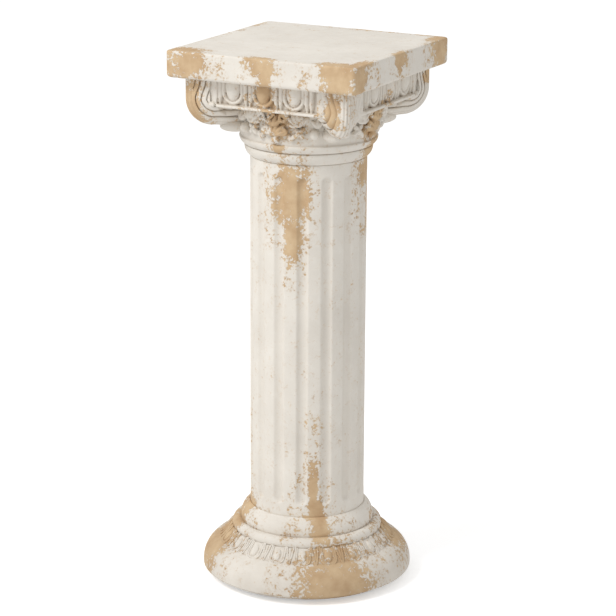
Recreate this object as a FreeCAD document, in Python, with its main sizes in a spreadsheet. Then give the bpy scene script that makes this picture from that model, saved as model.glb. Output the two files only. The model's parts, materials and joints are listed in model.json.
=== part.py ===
import FreeCAD, Part
import Sketcher
import math
import os
import re

os.makedirs("parts", exist_ok=True)
doc = FreeCAD.newDocument("column_stand")

# A classical column stand, cast in hollow pieces that are bedded on each other and pulled
# together by one steel rod. Its base rests on z = 0 and its axis is the z axis; the slab on
# top is square to x and y. Millimetres throughout.

# ---------------------------------------------------------------- sizes
SIZES = {
    # hollow core that runs through every casting
    "core_radius": 39.0,
    # square slab on top
    "slab_side": 300.0,
    "slab_thick": 39.0,
    "slab_corner": 6.0,
    "slab_top_round": 3.0,
    "slab_under_round": 5.5,
    # mortar beds: thin layers, set back from the faces that they part
    "slab_bed_thick": 2.0,
    "slab_bed_setback": 9.0,
    "neck_bed_thick": 1.5,
    "foot_bed_thick": 2.0,
    "bed_setback": 4.0,
    # locating pins between slab and capital
    "pin_radius": 5.0,
    "pin_grip": 16.0,
    "pin_offset": 97.0,
    "pin_fit": 0.2,
    "pin_end_gap": 2.0,
    # capital: bell, frieze block, corner scrolls
    "capital_tall": 119.0,
    "neck_proud": 0.6,
    "lower_band_swell": 7.6,
    "lower_band_tall": 16.0,
    "upper_band_swell": 7.5,
    "upper_band_tall": 11.0,
    "band_fullness": 1.9,
    "groove_deep": 1.2,
    "groove_tall": 1.4,
    "bell_inset": 2.0,
    "bell_flare": 17.5,
    "bell_fullness": 2.6,
    "frieze_half": 122.0,
    "frieze_tall": 37.0,
    "ridge_length": 156.0,
    "ridge_deep": 9.0,
    "ridge_tall": 4.5,
    "egg_pitch": 51.5,
    "egg_half_wide": 11.5,
    "egg_half_tall": 19.0,
    "egg_half_deep": 10.0,
    "egg_drop": 8.0,
    "shell_outer": 17.5,
    "shell_wall": 3.5,
    "shell_deep": 5.5,
    "dart_wide": 3.2,
    "dart_tall": 29.0,
    "dart_deep": 6.0,
    "scroll_reach": 182.0,
    "scroll_thick": 24.0,
    "scroll_round": 40.0,
    "scroll_bottom": 50.0,
    "scroll_root": 94.0,
    "root_step": 15.0,
    "band_step": 8.5,
    "band_rise": 8.0,
    "eye_rise": 21.0,
    "eye_radius": 7.0,
    "leaf_half_wide": 15.0,
    "leaf_half_tall": 20.0,
    "leaf_half_deep": 11.0,
    "leaf_level": 61.0,
    "flower_radius": 9.5,
    "flower_turn": 24.0,
    "flower_level": 47.0,
    "web_thick": 12.0,
    # fluted shaft
    "shaft_length": 530.5,
    "shaft_radius": 84.8,
    "flute_count": 15.0,
    "flute_radius": 9.6,
    "flute_deep": 4.0,
    "flute_end_gap": 22.0,
    "flute_phase": 4.3,
    "spigot_radius": 68.0,
    "spigot_tall": 8.0,
    "spigot_fit": 0.3,
    "spigot_end_gap": 1.0,
    # round base
    "base_tall": 111.0,
    "seat_deep": 6.0,
    "seat_fit": 0.4,
    "base_lip": 1.8,
    "roundel_tall": 27.15,
    "roundel_swell": 13.4,
    "roundel_fullness": 1.85,
    "ring_curve": 8.6,
    "ring_swell": 6.3,
    "slope_radius": 112.5,
    "slope_spread": 16.5,
    "slope_drop": 17.9,
    "roll_radius": 155.3,
    "roll_level": 17.3,
    "roll_fullness": 1.66,
    "foot_radius": 131.2,
    "foot_fullness": 1.22,
    "base_egg_count": 20.0,
    "base_egg_long": 10.5,
    "base_egg_wide": 6.0,
    "base_egg_deep": 5.2,
    "base_shell_long": 13.0,
    "base_shell_wide": 10.6,
    "base_shell_deep": 3.2,
    # tie rod and its fittings
    "rod_radius": 6.0,
    "rod_fit": 1.0,
    "plate_side": 52.0,
    "plate_thick": 6.0,
    "nut_flats": 19.0,
    "nut_tall": 10.0,
    "rod_overhang": 6.0,
    # feet
    "pad_radius": 11.0,
    "pad_thick": 4.0,
    "pad_proud": 1.0,
    "pad_fit": 0.3,
    "pad_inset": 16.0,
    # spare depth of every cutter beyond the face that it opens
    "cut_over": 5.0,
}

sheet = doc.addObject("Spreadsheet::Sheet", "sizes")
for row, (name, value) in enumerate(SIZES.items(), start=1):
    sheet.set("A%d" % row, name)
    sheet.set("B%d" % row, repr(value))
    sheet.setAlias("B%d" % row, name)
doc.recompute()


def formula(text):
    """The same sum, with each size named as the sheet's own."""
    return re.sub(r"[a-z]+(?:_[a-z]+)+", r"sizes.\g<0>", text)


def amount(text):
    """What a sum of sizes comes to."""
    found = sheet.evalExpression(formula(text))
    return float(getattr(found, "Value", found))


def bind(thing, **sums):
    """Tie properties of one object to sums of sizes."""
    for prop, text in sums.items():
        thing.setExpression(prop.replace("__", "."), formula(text))


# ---------------------------------------------------------------- levels on the axis
BASE_BOTTOM = "pad_proud"
BASE_TOP = BASE_BOTTOM + " + base_tall"
SEAT = BASE_TOP + " - seat_deep"
SHAFT_BOTTOM = SEAT + " + foot_bed_thick"
SHAFT_TOP = SHAFT_BOTTOM + " + shaft_length"
CAPITAL_BOTTOM = SHAFT_TOP + " + neck_bed_thick"
CAPITAL_TOP = CAPITAL_BOTTOM + " + capital_tall"
SLAB_BOTTOM = CAPITAL_TOP + " + slab_bed_thick"
SLAB_TOP = SLAB_BOTTOM + " + slab_thick"
SPIGOT_HOLE = "(spigot_radius + spigot_fit)"
ROD_HOLE = "(rod_radius + rod_fit)"
SLAB_BED_HALF = "(frieze_half - slab_bed_setback)"
CAPITAL_WEB = CAPITAL_BOTTOM + " + spigot_tall + spigot_end_gap"
CAPITAL_FLOOR = CAPITAL_WEB + " + web_thick"
BASE_WEB = "(base_tall - seat_deep + foot_bed_thick - spigot_tall - spigot_end_gap - web_thick)"
PAD_CIRCLE = "(foot_radius - pad_inset)"
QUARTER = "1.41421356"


# ---------------------------------------------------------------- building helpers
def new_body(label, level="0"):
    """An empty body whose own z = 0 lies at the given level of the stand."""
    body = doc.addObject("PartDesign::Body", label)
    body.Label = label
    if level != "0":
        bind(body, Placement__Base__z=level)
    return body


def origin_part(body, role):
    """One of the body's own planes or axes."""
    for feature in body.Origin.OriginFeatures:
        if feature.Role == role:
            return feature
    raise ValueError(role)


def outline(body, name, plane, corners, bends=None, turn="0", shift=None):
    """Closed outline of straight sides and arcs on a plane of the body.

    corners: list of (across, up) sums. bends: side number -> (fullness, way). An arc's radius
    is its fullness times half its chord, so that it always spans its two corners: 1 is a half
    circle, and QUARTER a quarter circle. way is +1 for an arc that runs anticlockwise and -1
    for clockwise. turn swings the plane about its own upright axis; shift moves it along its
    (across, up, out) directions."""
    arcs = {}
    for side, (fullness, way) in (bends or {}).items():
        (left, low), (right, high) = corners[side], corners[(side + 1) % len(corners)]
        arcs[side] = ("sqrt(((%s) - (%s)) ^ 2 + ((%s) - (%s)) ^ 2) / 2 * %s"
                      % (right, left, high, low, fullness), way)
    sketch = body.newObject("Sketcher::SketchObject", name)
    sketch.AttachmentSupport = [(origin_part(body, plane), "")]
    sketch.MapMode = "FlatFace"
    if turn != "0":
        sketch.AttachmentOffset = FreeCAD.Placement(
            FreeCAD.Vector(0, 0, 0), FreeCAD.Rotation(FreeCAD.Vector(0, 1, 0), amount(turn)))
        bind(sketch, AttachmentOffset__Rotation__Angle=turn)
    for axis, text in zip("xyz", shift or ()):
        if text != "0":
            sketch.setExpression("AttachmentOffset.Base." + axis, formula(text))
    spots = [FreeCAD.Vector(amount(a), amount(b), 0) for a, b in corners]
    ends = []
    for side, start in enumerate(spots):
        stop = spots[(side + 1) % len(spots)]
        if side not in arcs:
            sketch.addGeometry(Part.LineSegment(start, stop), False)
            ends.append((1, 2))
            continue
        radius, way = arcs[side]
        reach = amount(radius)
        chord = stop - start
        rise = math.sqrt(max(reach ** 2 - (chord.Length / 2) ** 2, 0.0))
        aside = FreeCAD.Vector(-chord.y, chord.x, 0).normalize() * rise * way
        centre = (start + stop) / 2 + aside
        first, last = (start, stop) if way > 0 else (stop, start)
        angles = [math.atan2(p.y - centre.y, p.x - centre.x) for p in (first, last)]
        circle = Part.Circle(centre, FreeCAD.Vector(0, 0, 1), reach)
        sketch.addGeometry(Part.ArcOfCircle(circle, angles[0], angles[1]), False)
        ends.append((1, 2) if way > 0 else (2, 1))
    for side in range(len(spots)):
        after = (side + 1) % len(spots)
        sketch.addConstraint(Sketcher.Constraint(
            "Coincident", side, ends[side][1], after, ends[after][0]))
    for side, (across, up) in enumerate(corners):
        for kind, text, axis_line in (("DistanceX", across, -2), ("DistanceY", up, -1)):
            if text == "0":
                sketch.addConstraint(Sketcher.Constraint(
                    "PointOnObject", side, ends[side][0], axis_line))
                continue
            index = sketch.addConstraint(Sketcher.Constraint(
                kind, -1, 1, side, ends[side][0], amount(text)))
            sketch.setExpression("Constraints[%d]" % index, formula(text))
    for side, (radius, way) in arcs.items():
        index = sketch.addConstraint(Sketcher.Constraint("Radius", side, amount(radius)))
        sketch.setExpression("Constraints[%d]" % index, formula(radius))
    return sketch


def turned(body, name, sketch, kind="PartDesign::Revolution"):
    """Solid of revolution, or a groove, about the sketch's upright axis."""
    feature = body.newObject(kind, name)
    feature.Profile = (sketch, [""])
    feature.ReferenceAxis = (sketch, ["V_Axis"])
    feature.Angle = 360
    return feature


def thickened(body, name, sketch, length, both_ways=False, kind="PartDesign::Pad"):
    """Solid of one outline, raised or cut by a length."""
    feature = body.newObject(kind, name)
    feature.Profile = (sketch, [""])
    if both_ways:
        feature.SideType = "Symmetric"
    bind(feature, Length=length)
    return feature


def block(body, name, size, place, kind="PartDesign::AdditiveBox"):
    """Box of (x, y, z) size whose low corner is at place."""
    feature = body.newObject(kind, name)
    bind(feature, Length=size[0], Width=size[1], Height=size[2])
    bind(feature, Placement__Base__x=place[0], Placement__Base__y=place[1],
         Placement__Base__z=place[2])
    return feature


def drum(body, name, radius, height, place, kind="PartDesign::SubtractiveCylinder"):
    """Upright cylinder whose lower face is centred at place."""
    feature = body.newObject(kind, name)
    bind(feature, Radius=radius, Height=height)
    bind(feature, Placement__Base__x=place[0], Placement__Base__y=place[1],
         Placement__Base__z=place[2])
    return feature


def dome(body, name, half_sizes, place):
    """Ellipsoid of half sizes (x, y, z) about place."""
    feature = body.newObject("PartDesign::AdditiveEllipsoid", name)
    bind(feature, Radius2=half_sizes[0], Radius3=half_sizes[1], Radius1=half_sizes[2])
    bind(feature, Placement__Base__x=place[0], Placement__Base__y=place[1],
         Placement__Base__z=place[2])
    return feature


def around(body, name, originals, count):
    """The same features repeated evenly round the z axis."""
    pattern = body.newObject("PartDesign::PolarPattern", name)
    pattern.Originals = originals
    pattern.Axis = (origin_part(body, "Z_Axis"), [""])
    pattern.Angle = 360
    bind(pattern, Occurrences=count)
    body.Tip = pattern
    return pattern


def rounded(body, name, base, radius, test):
    """Fillet on every edge of base whose two ends and middle pass the test."""
    doc.recompute()
    edges = []
    for number, edge in enumerate(base.Shape.Edges, start=1):
        middle = edge.valueAt((edge.FirstParameter + edge.LastParameter) / 2)
        if all(test(spot) for spot in [v.Point for v in edge.Vertexes] + [middle]):
            edges.append("Edge%d" % number)
    feature = body.newObject("PartDesign::Fillet", name)
    feature.Base = (base, edges)
    bind(feature, Radius=radius)
    return feature


def near(found, wanted):
    return abs(found - wanted) < 1e-4


# ---------------------------------------------------------------- slab
slab = new_body("top_slab", SLAB_BOTTOM)
slab_block = block(slab, "slab_block", ("slab_side", "slab_side", "slab_thick"),
                   ("-slab_side / 2", "-slab_side / 2", "0"))
half_side = amount("slab_side / 2")
slab_corners = rounded(
    slab, "slab_corners", slab_block, "slab_corner",
    lambda p: near(abs(p.x), half_side) and near(abs(p.y), half_side))
slab_top_edge = rounded(
    slab, "slab_top_edge", slab_corners, "slab_top_round",
    lambda p: near(p.z, amount("slab_thick")))
slab_under_edge = rounded(
    slab, "slab_under_edge", slab_top_edge, "slab_under_round", lambda p: near(p.z, 0))
slab_pin_hole = drum(slab, "slab_pin_hole", "pin_radius + pin_fit",
                     "pin_grip + pin_end_gap + cut_over",
                     ("pin_offset", "pin_offset", "-cut_over"))
around(slab, "slab_pin_holes", [slab_pin_hole], "4")

# ---------------------------------------------------------------- mortar under the slab
slab_bed = new_body("slab_mortar_bed", CAPITAL_TOP)
block(slab_bed, "slab_bed_sheet",
      ("2 * " + SLAB_BED_HALF, "2 * " + SLAB_BED_HALF, "slab_bed_thick"),
      ("-" + SLAB_BED_HALF, "-" + SLAB_BED_HALF, "0"))
drum(slab_bed, "slab_bed_opening", "core_radius + rod_fit / 2", "slab_bed_thick + 2 * cut_over",
     ("0", "0", "-cut_over"))
slab_bed_hole = drum(slab_bed, "slab_bed_hole", "pin_radius + pin_fit",
                     "slab_bed_thick + 2 * cut_over", ("pin_offset", "pin_offset", "-cut_over"))
around(slab_bed, "slab_bed_holes", [slab_bed_hole], "4")

# ---------------------------------------------------------------- capital
capital = new_body("capital", CAPITAL_BOTTOM)
# Solid of revolution: two convex neck bands parted by a groove, then the flaring bell.
BANDS_TOP = "lower_band_tall + groove_tall + upper_band_tall"
FRIEZE_FOOT = "capital_tall - frieze_tall"
WEB_TOP = "spigot_tall + spigot_end_gap + web_thick"
NECK = "(shaft_radius + neck_proud)"
LOWER_BAND = "(shaft_radius + neck_proud + lower_band_swell)"
UPPER_BAND = "(shaft_radius + neck_proud + lower_band_swell + upper_band_swell)"
BELL_FOOT = "(shaft_radius + neck_proud + lower_band_swell + upper_band_swell - bell_inset)"
bell_outline = outline(
    capital, "bell_outline", "XZ_Plane",
    [("core_radius", FRIEZE_FOOT + " + ridge_tall"),
     ("core_radius", WEB_TOP),
     (ROD_HOLE, WEB_TOP),
     (ROD_HOLE, "spigot_tall + spigot_end_gap"),
     (SPIGOT_HOLE, "spigot_tall + spigot_end_gap"),
     (SPIGOT_HOLE, "0"),
     (NECK, "0"),
     (LOWER_BAND, "lower_band_tall"),
     (LOWER_BAND + " - groove_deep", "lower_band_tall"),
     (LOWER_BAND + " - groove_deep", "lower_band_tall + groove_tall"),
     (LOWER_BAND, "lower_band_tall + groove_tall"),
     (UPPER_BAND, BANDS_TOP),
     (BELL_FOOT, BANDS_TOP),
     (BELL_FOOT + " + bell_flare", FRIEZE_FOOT + " + ridge_tall")],
    bends={6: ("band_fullness", 1), 10: ("band_fullness", 1), 12: ("bell_fullness", -1)})
turned(capital, "bell", bell_outline)
block(capital, "frieze_block", ("2 * frieze_half", "2 * frieze_half", "frieze_tall"),
      ("-frieze_half", "-frieze_half", FRIEZE_FOOT))

# Corner scrolls: upright plates on the two diagonals, each with a quarter-round lower
# corner. Towards the eye they thicken in steps, so that each side turns to face outwards as
# the side of the block next to it does; towards the bell only the thin first plate is left.
scroll_parts = []
for step, tier in enumerate(("rim", "middle", "inner")):
    inset = "%d * band_step" % step
    edge = "scroll_reach - " + inset
    low = "scroll_bottom + " + inset
    root = "scroll_root + %d * root_step" % step
    plate_outline = outline(
        capital, "scroll_%s_outline" % tier, "XZ_Plane",
        [(root, low), ("scroll_reach - scroll_round", low),
         (edge, "scroll_bottom + scroll_round"), (edge, "capital_tall"),
         (root, "capital_tall")],
        bends={1: (QUARTER, 1)}, turn="45")
    scroll_parts.append(thickened(
        capital, "scroll_%s" % tier, plate_outline,
        "scroll_thick + %d * band_rise" % (2 * step), both_ways=True))
eye_outline = outline(
    capital, "scroll_eye_outline", "XZ_Plane",
    [("scroll_reach - scroll_round - eye_radius", "scroll_bottom + scroll_round"),
     ("scroll_reach - scroll_round + eye_radius", "scroll_bottom + scroll_round")],
    bends={0: ("1.0001", 1), 1: ("1.0001", 1)}, turn="45")
scroll_parts.append(thickened(
    capital, "scroll_eye", eye_outline, "scroll_thick + 2 * eye_rise", both_ways=True))
around(capital, "scrolls", scroll_parts, "4")

# Egg-and-dart on each face of the block: three eggs, each in a U-shaped shell, darts between.
frieze_parts = []
EGG_LEVEL = "capital_tall - egg_drop"
for place, across in (("left", "-egg_pitch"), ("middle", "0"), ("right", "egg_pitch")):
    frieze_parts.append(dome(
        capital, "egg_" + place, ("egg_half_wide", "egg_half_deep", "egg_half_tall"),
        (across, "-frieze_half", EGG_LEVEL)))
    shell_leg = "capital_tall - dart_tall + shell_outer"
    shell_outline = outline(
        capital, "shell_outline_" + place, "XZ_Plane",
        [("0", "capital_tall"), ("0", shell_leg),
         ("2 * shell_outer", shell_leg), ("2 * shell_outer", "capital_tall"),
         ("2 * shell_outer - shell_wall", "capital_tall"),
         ("2 * shell_outer - shell_wall", shell_leg),
         ("shell_wall", shell_leg), ("shell_wall", "capital_tall")],
        bends={1: ("1.0001", 1), 5: ("1.0001", -1)},
        shift=(across + " - shell_outer", "0", "frieze_half"))
    frieze_parts.append(thickened(capital, "shell_" + place, shell_outline, "shell_deep"))
for place, side in (("left", "-"), ("right", "")):
    frieze_parts.append(block(
        capital, "dart_" + place, ("dart_wide", "dart_deep + 1", "dart_tall"),
        (side + "egg_pitch / 2 - dart_wide / 2", "-frieze_half - dart_deep",
         "capital_tall - dart_tall")))
frieze_parts.append(block(
    capital, "ridge", ("ridge_length", "ridge_deep + 2", "ridge_tall"),
    ("-ridge_length / 2", "-frieze_half - ridge_deep", FRIEZE_FOOT)))
around(capital, "frieze", frieze_parts, "4")

# Foliage on the bell below each face: a leaf in the middle and a flower on either side.
leaf = dome(capital, "leaf", ("leaf_half_wide", "leaf_half_deep", "leaf_half_tall"),
            ("0", "-" + BELL_FOOT + " - 5", "leaf_level"))
flowers = [
    dome(capital, "flower_" + place, ("flower_radius", "flower_radius", "flower_radius"),
         ("(%s + 3) * sin(%s flower_turn)" % (BELL_FOOT, sign),
          "-(%s + 3) * cos(flower_turn)" % BELL_FOOT, "flower_level"))
    for place, sign in (("left", "-1 *"), ("right", "1 *"))]
around(capital, "foliage", [leaf] + flowers, "4")

# Everything above the top bed face is dressed off.
block(capital, "top_dressing", ("4 * frieze_half", "4 * frieze_half", "egg_half_tall + cut_over"),
      ("-2 * frieze_half", "-2 * frieze_half", "capital_tall"),
      kind="PartDesign::SubtractiveBox")

# Hollow above the web, and blind holes for the pins.
drum(capital, "capital_hollow", "core_radius", "capital_tall", ("0", "0", WEB_TOP))
capital_pin_hole = drum(capital, "capital_pin_hole", "pin_radius + pin_fit",
                        "pin_grip + cut_over",
                        ("pin_offset", "pin_offset", "capital_tall - pin_grip"))
around(capital, "capital_pin_holes", [capital_pin_hole], "4")

# ---------------------------------------------------------------- mortar under the capital
neck_bed = new_body("neck_mortar_bed", SHAFT_TOP)
turned(neck_bed, "neck_bed_ring", outline(
    neck_bed, "neck_bed_outline", "XZ_Plane",
    [(SPIGOT_HOLE, "0"), ("shaft_radius - bed_setback", "0"),
     ("shaft_radius - bed_setback", "neck_bed_thick"), (SPIGOT_HOLE, "neck_bed_thick")]))

# ---------------------------------------------------------------- shaft
shaft = new_body("fluted_shaft", SHAFT_BOTTOM)
turned(shaft, "shaft_tube", outline(
    shaft, "shaft_outline", "XZ_Plane",
    [("core_radius", "-spigot_tall"), ("spigot_radius", "-spigot_tall"), ("spigot_radius", "0"),
     ("shaft_radius", "0"), ("shaft_radius", "shaft_length"), ("spigot_radius", "shaft_length"),
     ("spigot_radius", "shaft_length + spigot_tall"),
     ("core_radius", "shaft_length + spigot_tall")]))
# One flute is a round-ended upright cut; its middle lies outside the face of the shaft.
flute_low = "flute_end_gap + flute_radius"
flute_high = "shaft_length - flute_end_gap - flute_radius"
flute_outline = outline(
    shaft, "flute_outline", "XZ_Plane",
    [("0", "flute_end_gap"), ("flute_radius", flute_low), ("flute_radius", flute_high),
     ("0", "shaft_length - flute_end_gap")],
    bends={0: (QUARTER, 1), 2: (QUARTER, 1)},
    shift=("shaft_radius + flute_radius - flute_deep", "0", "0"))
flute = turned(shaft, "flute", flute_outline, kind="PartDesign::Groove")
around(shaft, "flutes", [flute], "flute_count")
bind(shaft, Placement__Rotation__Angle="flute_phase")

# ---------------------------------------------------------------- mortar under the shaft
foot_bed = new_body("foot_mortar_bed", SEAT)
turned(foot_bed, "foot_bed_ring", outline(
    foot_bed, "foot_bed_outline", "XZ_Plane",
    [(SPIGOT_HOLE, "0"), ("shaft_radius - bed_setback", "0"),
     ("shaft_radius - bed_setback", "foot_bed_thick"), (SPIGOT_HOLE, "foot_bed_thick")]))

# ---------------------------------------------------------------- base
base = new_body("round_base", BASE_BOTTOM)
SEAT_RADIUS = "shaft_radius + seat_fit"
ROUNDEL_FOOT = "(base_tall - roundel_tall)"
ROUNDEL_RADIUS = "(shaft_radius + roundel_swell)"
RING_RADIUS = "(shaft_radius + roundel_swell + ring_swell)"
RING_LEVEL = "(base_tall - roundel_tall - 0.68 * ring_curve)"
SLOPE_TOP = "(base_tall - roundel_tall - 1.3871 * ring_curve)"
SLOPE_FOOT = "(base_tall - roundel_tall - 1.3871 * ring_curve - slope_drop)"
base_outline = outline(
    base, "base_outline", "XZ_Plane",
    [("core_radius", "0"), ("foot_radius", "0"),
     ("roll_radius", "roll_level"),
     ("slope_radius + slope_spread", SLOPE_FOOT),
     ("slope_radius", SLOPE_TOP),
     (RING_RADIUS + " + ring_curve * 0.7071", SLOPE_TOP),
     (ROUNDEL_RADIUS, ROUNDEL_FOOT),
     (SEAT_RADIUS + " + base_lip", "base_tall"),
     (SEAT_RADIUS, "base_tall"),
     (SEAT_RADIUS, "base_tall - seat_deep"),
     (SPIGOT_HOLE, "base_tall - seat_deep"),
     (SPIGOT_HOLE, BASE_WEB + " + web_thick"),
     (ROD_HOLE, BASE_WEB + " + web_thick"),
     (ROD_HOLE, BASE_WEB),
     ("core_radius", BASE_WEB)],
    bends={1: ("foot_fullness", 1), 2: ("roll_fullness", 1), 5: ("1.04", 1),
           6: ("roundel_fullness", 1)})
turned(base, "base_turning", base_outline)
# Ring of eggs that lie on the slope above the big roll.
base_ornament = []
for piece in ("base_shell", "base_egg"):
    bud = dome(
        base, piece, (piece + "_deep", piece + "_wide", piece + "_long"),
        ("slope_radius + slope_spread / 2", "0", SLOPE_TOP + " - slope_drop / 2"))
    bud.Placement = FreeCAD.Placement(
        FreeCAD.Vector(0, 0, 0), FreeCAD.Rotation(FreeCAD.Vector(0, 1, 0), -45))
    bind(bud, Placement__Rotation__Angle="-atan(slope_spread / slope_drop)")
    base_ornament.append(bud)
around(base, "base_eggs", base_ornament, "base_egg_count")
base_pad_recess = drum(base, "base_pad_recess", "pad_radius + pad_fit",
                       "pad_thick - pad_proud + cut_over",
                       (PAD_CIRCLE + " * cos(45)", PAD_CIRCLE + " * sin(45)", "-cut_over"))
around(base, "base_pad_recesses", [base_pad_recess], "4")

# ---------------------------------------------------------------- loose hardware
PARTS = [slab, slab_bed, capital, neck_bed, shaft, foot_bed, base]


def disc(name, radius, height, place):
    """Loose upright cylinder."""
    feature = doc.addObject("Part::Cylinder", name)
    bind(feature, Radius=radius, Height=height)
    bind(feature, Placement__Base__x=place[0], Placement__Base__y=place[1],
         Placement__Base__z=place[2])
    return feature


def group(label, members):
    """Several like pieces that share one node, each a solid of its own."""
    feature = doc.addObject("Part::Compound", label)
    feature.Label = label
    feature.Links = members
    PARTS.append(feature)
    return feature


def bored(label, blank, level):
    """A plate or nut with a hole that the rod fills."""
    hole = disc(label + "_hole", "rod_radius", "plate_thick + nut_tall + 2 * cut_over",
                ("0", "0", level + " - cut_over"))
    feature = doc.addObject("Part::Cut", label)
    feature.Label = label
    feature.Base = blank
    feature.Tool = hole
    PARTS.append(feature)
    return feature


CORNERS = [(1, 1), (1, -1), (-1, -1), (-1, 1)]
group("slab_pins", [
    disc("pin_%d" % number, "pin_radius", "2 * pin_grip + slab_bed_thick",
         ("%d * pin_offset" % right, "%d * pin_offset" % back, CAPITAL_TOP + " - pin_grip"))
    for number, (right, back) in enumerate(CORNERS, start=1)])
group("floor_pads", [
    disc("pad_%d" % number, "pad_radius", "pad_thick",
         ("%d * %s * cos(45)" % (right, PAD_CIRCLE), "%d * %s * sin(45)" % (back, PAD_CIRCLE),
          "0"))
    for number, (right, back) in enumerate(CORNERS, start=1)])

LOWER_PLATE = BASE_BOTTOM + " + " + BASE_WEB + " - plate_thick"
LOWER_NUT = LOWER_PLATE + " - nut_tall"
UPPER_NUT = CAPITAL_FLOOR + " + plate_thick"
for label, level in (("lower_tie_plate", LOWER_PLATE), ("upper_tie_plate", CAPITAL_FLOOR)):
    plate = doc.addObject("Part::Box", label + "_blank")
    bind(plate, Length="plate_side", Width="plate_side", Height="plate_thick",
         Placement__Base__x="-plate_side / 2", Placement__Base__y="-plate_side / 2",
         Placement__Base__z=level)
    bored(label, plate, level)
for label, level in (("lower_tie_nut", LOWER_NUT), ("upper_tie_nut", UPPER_NUT)):
    nut = doc.addObject("Part::Prism", label + "_blank")
    nut.Polygon = 6
    bind(nut, Circumradius="nut_flats / 2 / cos(30)", Height="nut_tall",
         Placement__Base__z=level)
    bored(label, nut, level)
rod = disc("tie_rod", "rod_radius",
           UPPER_NUT + " + nut_tall + rod_overhang - (" + LOWER_NUT + " - rod_overhang)",
           ("0", "0", LOWER_NUT + " - rod_overhang"))
rod.Label = "tie_rod"
PARTS.append(rod)

# ---------------------------------------------------------------- check and write
doc.recompute()
faults = [thing.Name + " " + " ".join(thing.State) for thing in doc.Objects
          if "Invalid" in thing.State or "Error" in thing.State]
for piece in PARTS:
    if piece.Shape.isNull() or not piece.Shape.isValid():
        faults.append(piece.Label + " has no valid shape")
if faults:
    raise RuntimeError("; ".join(faults))
for piece in PARTS:
    piece.Shape.exportStep("parts/%s.step" % piece.Label)
    box = piece.Shape.BoundBox
    print("%-18s solids %d  z %7.2f to %7.2f  volume %9.0f mm3" % (
        piece.Label, len(piece.Shape.Solids), box.ZMin, box.ZMax, piece.Shape.Volume))
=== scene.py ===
# %% [markdown]
# # A worn classical column stand
# A square slab sits on a carved capital, a fluted shaft and a moulded round base. All four
# are chalky cream castings, worn through to a tan body in patches. This lesson loads the
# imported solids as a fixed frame, and dresses each casting with its own modelled surface.

# %% Load the fixed frame
import json
import math
import bmesh
import bpy
import numpy as np
from mathutils import Matrix, Vector


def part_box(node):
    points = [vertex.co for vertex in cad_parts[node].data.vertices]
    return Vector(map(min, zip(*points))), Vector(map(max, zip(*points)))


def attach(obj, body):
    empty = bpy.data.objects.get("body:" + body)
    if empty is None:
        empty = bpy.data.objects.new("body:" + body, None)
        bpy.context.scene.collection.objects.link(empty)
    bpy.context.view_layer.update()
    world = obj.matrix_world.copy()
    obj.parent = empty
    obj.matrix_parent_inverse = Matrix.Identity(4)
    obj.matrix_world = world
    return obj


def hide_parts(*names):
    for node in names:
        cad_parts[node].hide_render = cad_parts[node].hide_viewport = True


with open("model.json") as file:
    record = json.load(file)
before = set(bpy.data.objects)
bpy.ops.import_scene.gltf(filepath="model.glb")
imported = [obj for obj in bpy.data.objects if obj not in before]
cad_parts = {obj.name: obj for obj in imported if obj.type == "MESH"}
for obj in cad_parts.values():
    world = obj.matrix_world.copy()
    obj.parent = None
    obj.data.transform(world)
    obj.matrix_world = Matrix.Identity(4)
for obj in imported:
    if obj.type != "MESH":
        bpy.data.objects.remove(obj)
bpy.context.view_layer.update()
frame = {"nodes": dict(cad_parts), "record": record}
MM = 0.001

# %% [markdown]
# The viewpoint comes first, because it decides how much detail each piece needs. A long
# lens a few metres away keeps the column's sides almost parallel, as a product picture does.

# %% Camera
VIEW_TURN, VIEW_DOWN, VIEW_ROLL = (math.radians(a) for a in (27.92, 15.50, 0.28))
VIEW_DISTANCE, VIEW_HEIGHT, LENS = 3.638, 1.4163, 150.1
FRONT = math.degrees(VIEW_TURN) - 90  # polar angle that faces the camera


def aimed_camera():
    """Camera on a circle round the column, turned, tilted down and rolled a little."""
    data = bpy.data.cameras.new("viewpoint")
    data.lens, data.sensor_width = LENS, 36.0
    camera = bpy.data.objects.new("viewpoint", data)
    bpy.context.scene.collection.objects.link(camera)
    turn = Vector((math.sin(VIEW_TURN), -math.cos(VIEW_TURN), 0))
    forward = (-turn * math.cos(VIEW_DOWN) - Vector((0, 0, math.sin(VIEW_DOWN)))).normalized()
    level = Vector((math.cos(VIEW_TURN), math.sin(VIEW_TURN), 0))
    above = level.cross(forward)
    right = level * math.cos(VIEW_ROLL) + above * math.sin(VIEW_ROLL)
    up = above * math.cos(VIEW_ROLL) - level * math.sin(VIEW_ROLL)
    camera.matrix_world = Matrix.Translation(
        turn * VIEW_DISTANCE + Vector((0, 0, VIEW_HEIGHT))) @ Matrix(
        (right, up, -forward)).transposed().to_4x4()
    bpy.context.scene.camera = camera
    return camera


camera = aimed_camera()
print("camera at", [round(v, 3) for v in camera.matrix_world.translation])

# %% [markdown]
# The relief of a casting is soft: carved forms melt into the ground behind them. So each
# carved motif is first put together from simple closed shapes, and then turned into one
# skin by a voxel remesh. These helpers make the simple shapes, as plain arrays of points
# (in millimetres) and faces.

# %% Shape helpers
def grid_faces(rows, columns, wrap_rows=False, wrap_columns=False, start=0):
    """Quads of a rows by columns grid of points."""
    faces = []
    for i in range(rows if wrap_rows else rows - 1):
        for j in range(columns if wrap_columns else columns - 1):
            a, b = i, (i + 1) % rows
            c, d = j, (j + 1) % columns
            faces.append([start + a * columns + c, start + b * columns + c,
                          start + b * columns + d, start + a * columns + d])
    return faces


def tube_faces(rows, columns):
    """Faces of a grid that closes on itself across, with a lid on its first and last row."""
    last = (rows - 1) * columns
    return grid_faces(rows, columns, wrap_columns=True) + [
        list(range(columns))[::-1], [last + j for j in range(columns)]]


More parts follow.
